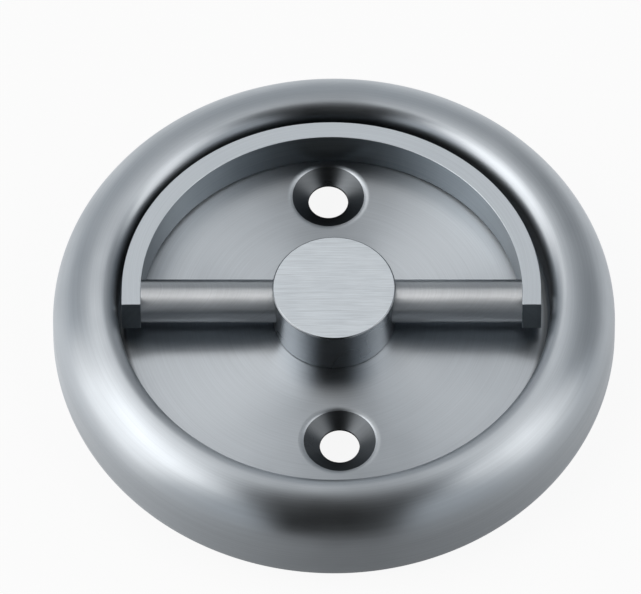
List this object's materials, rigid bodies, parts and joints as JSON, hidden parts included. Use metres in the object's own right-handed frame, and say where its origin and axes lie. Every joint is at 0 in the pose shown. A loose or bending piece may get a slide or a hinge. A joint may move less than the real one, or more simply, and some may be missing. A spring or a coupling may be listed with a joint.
{
  "type": "recessed turning ring pull",
  "caption": "Round recessed pull with a fold-flat D ring on a cross bar through a turning hub that drives a lock spindle.",
  "frame": {"origin": "middle of the foot of the rim, on the face of the door or drawer that it stands on", "axes": "+Z out of the door, along the axis of the dish and the hub; the two screw holes lie on the Y axis; the ring lies in the +Y half at rest"},
  "size_m": [0.0652, 0.0652, 0.0122],
  "materials": {
    "dish_satin_steel": "satin, turned grain round the middle",
    "ring_satin_steel": "satin",
    "hub_satin_steel": "satin, straight grain across the top",
    "bar_turned_steel": "fine turned",
    "washer_steel": "plain",
    "spring_steel": "oiled",
    "bush_brass": "machined"
  },
  "bodies": {
    "cup": {"dish": "dish_satin_steel", "hub_bush": "bush_brass", "thrust_washer": "washer_steel"},
    "turning_hub": {"hub": "hub_satin_steel", "wave_washer": "spring_steel", "retaining_ring": "spring_steel"},
    "ring_pull": {"ring": "ring_satin_steel", "crossbar": "bar_turned_steel"}
  },
  "joints": [
    {"name": "hub_turn", "type": "hinge", "parent": "cup", "child": "turning_hub", "pos_m": [0, 0, 0.00944], "axis": [0, 0, 1], "continuous": true},
    {"name": "ring_fold", "type": "hinge", "parent": "turning_hub", "child": "ring_pull", "pos_m": [0, 0, 0.00944], "axis": [0.9993, -0.0384, 0], "range_deg": [0, 184.8]}
  ]
}
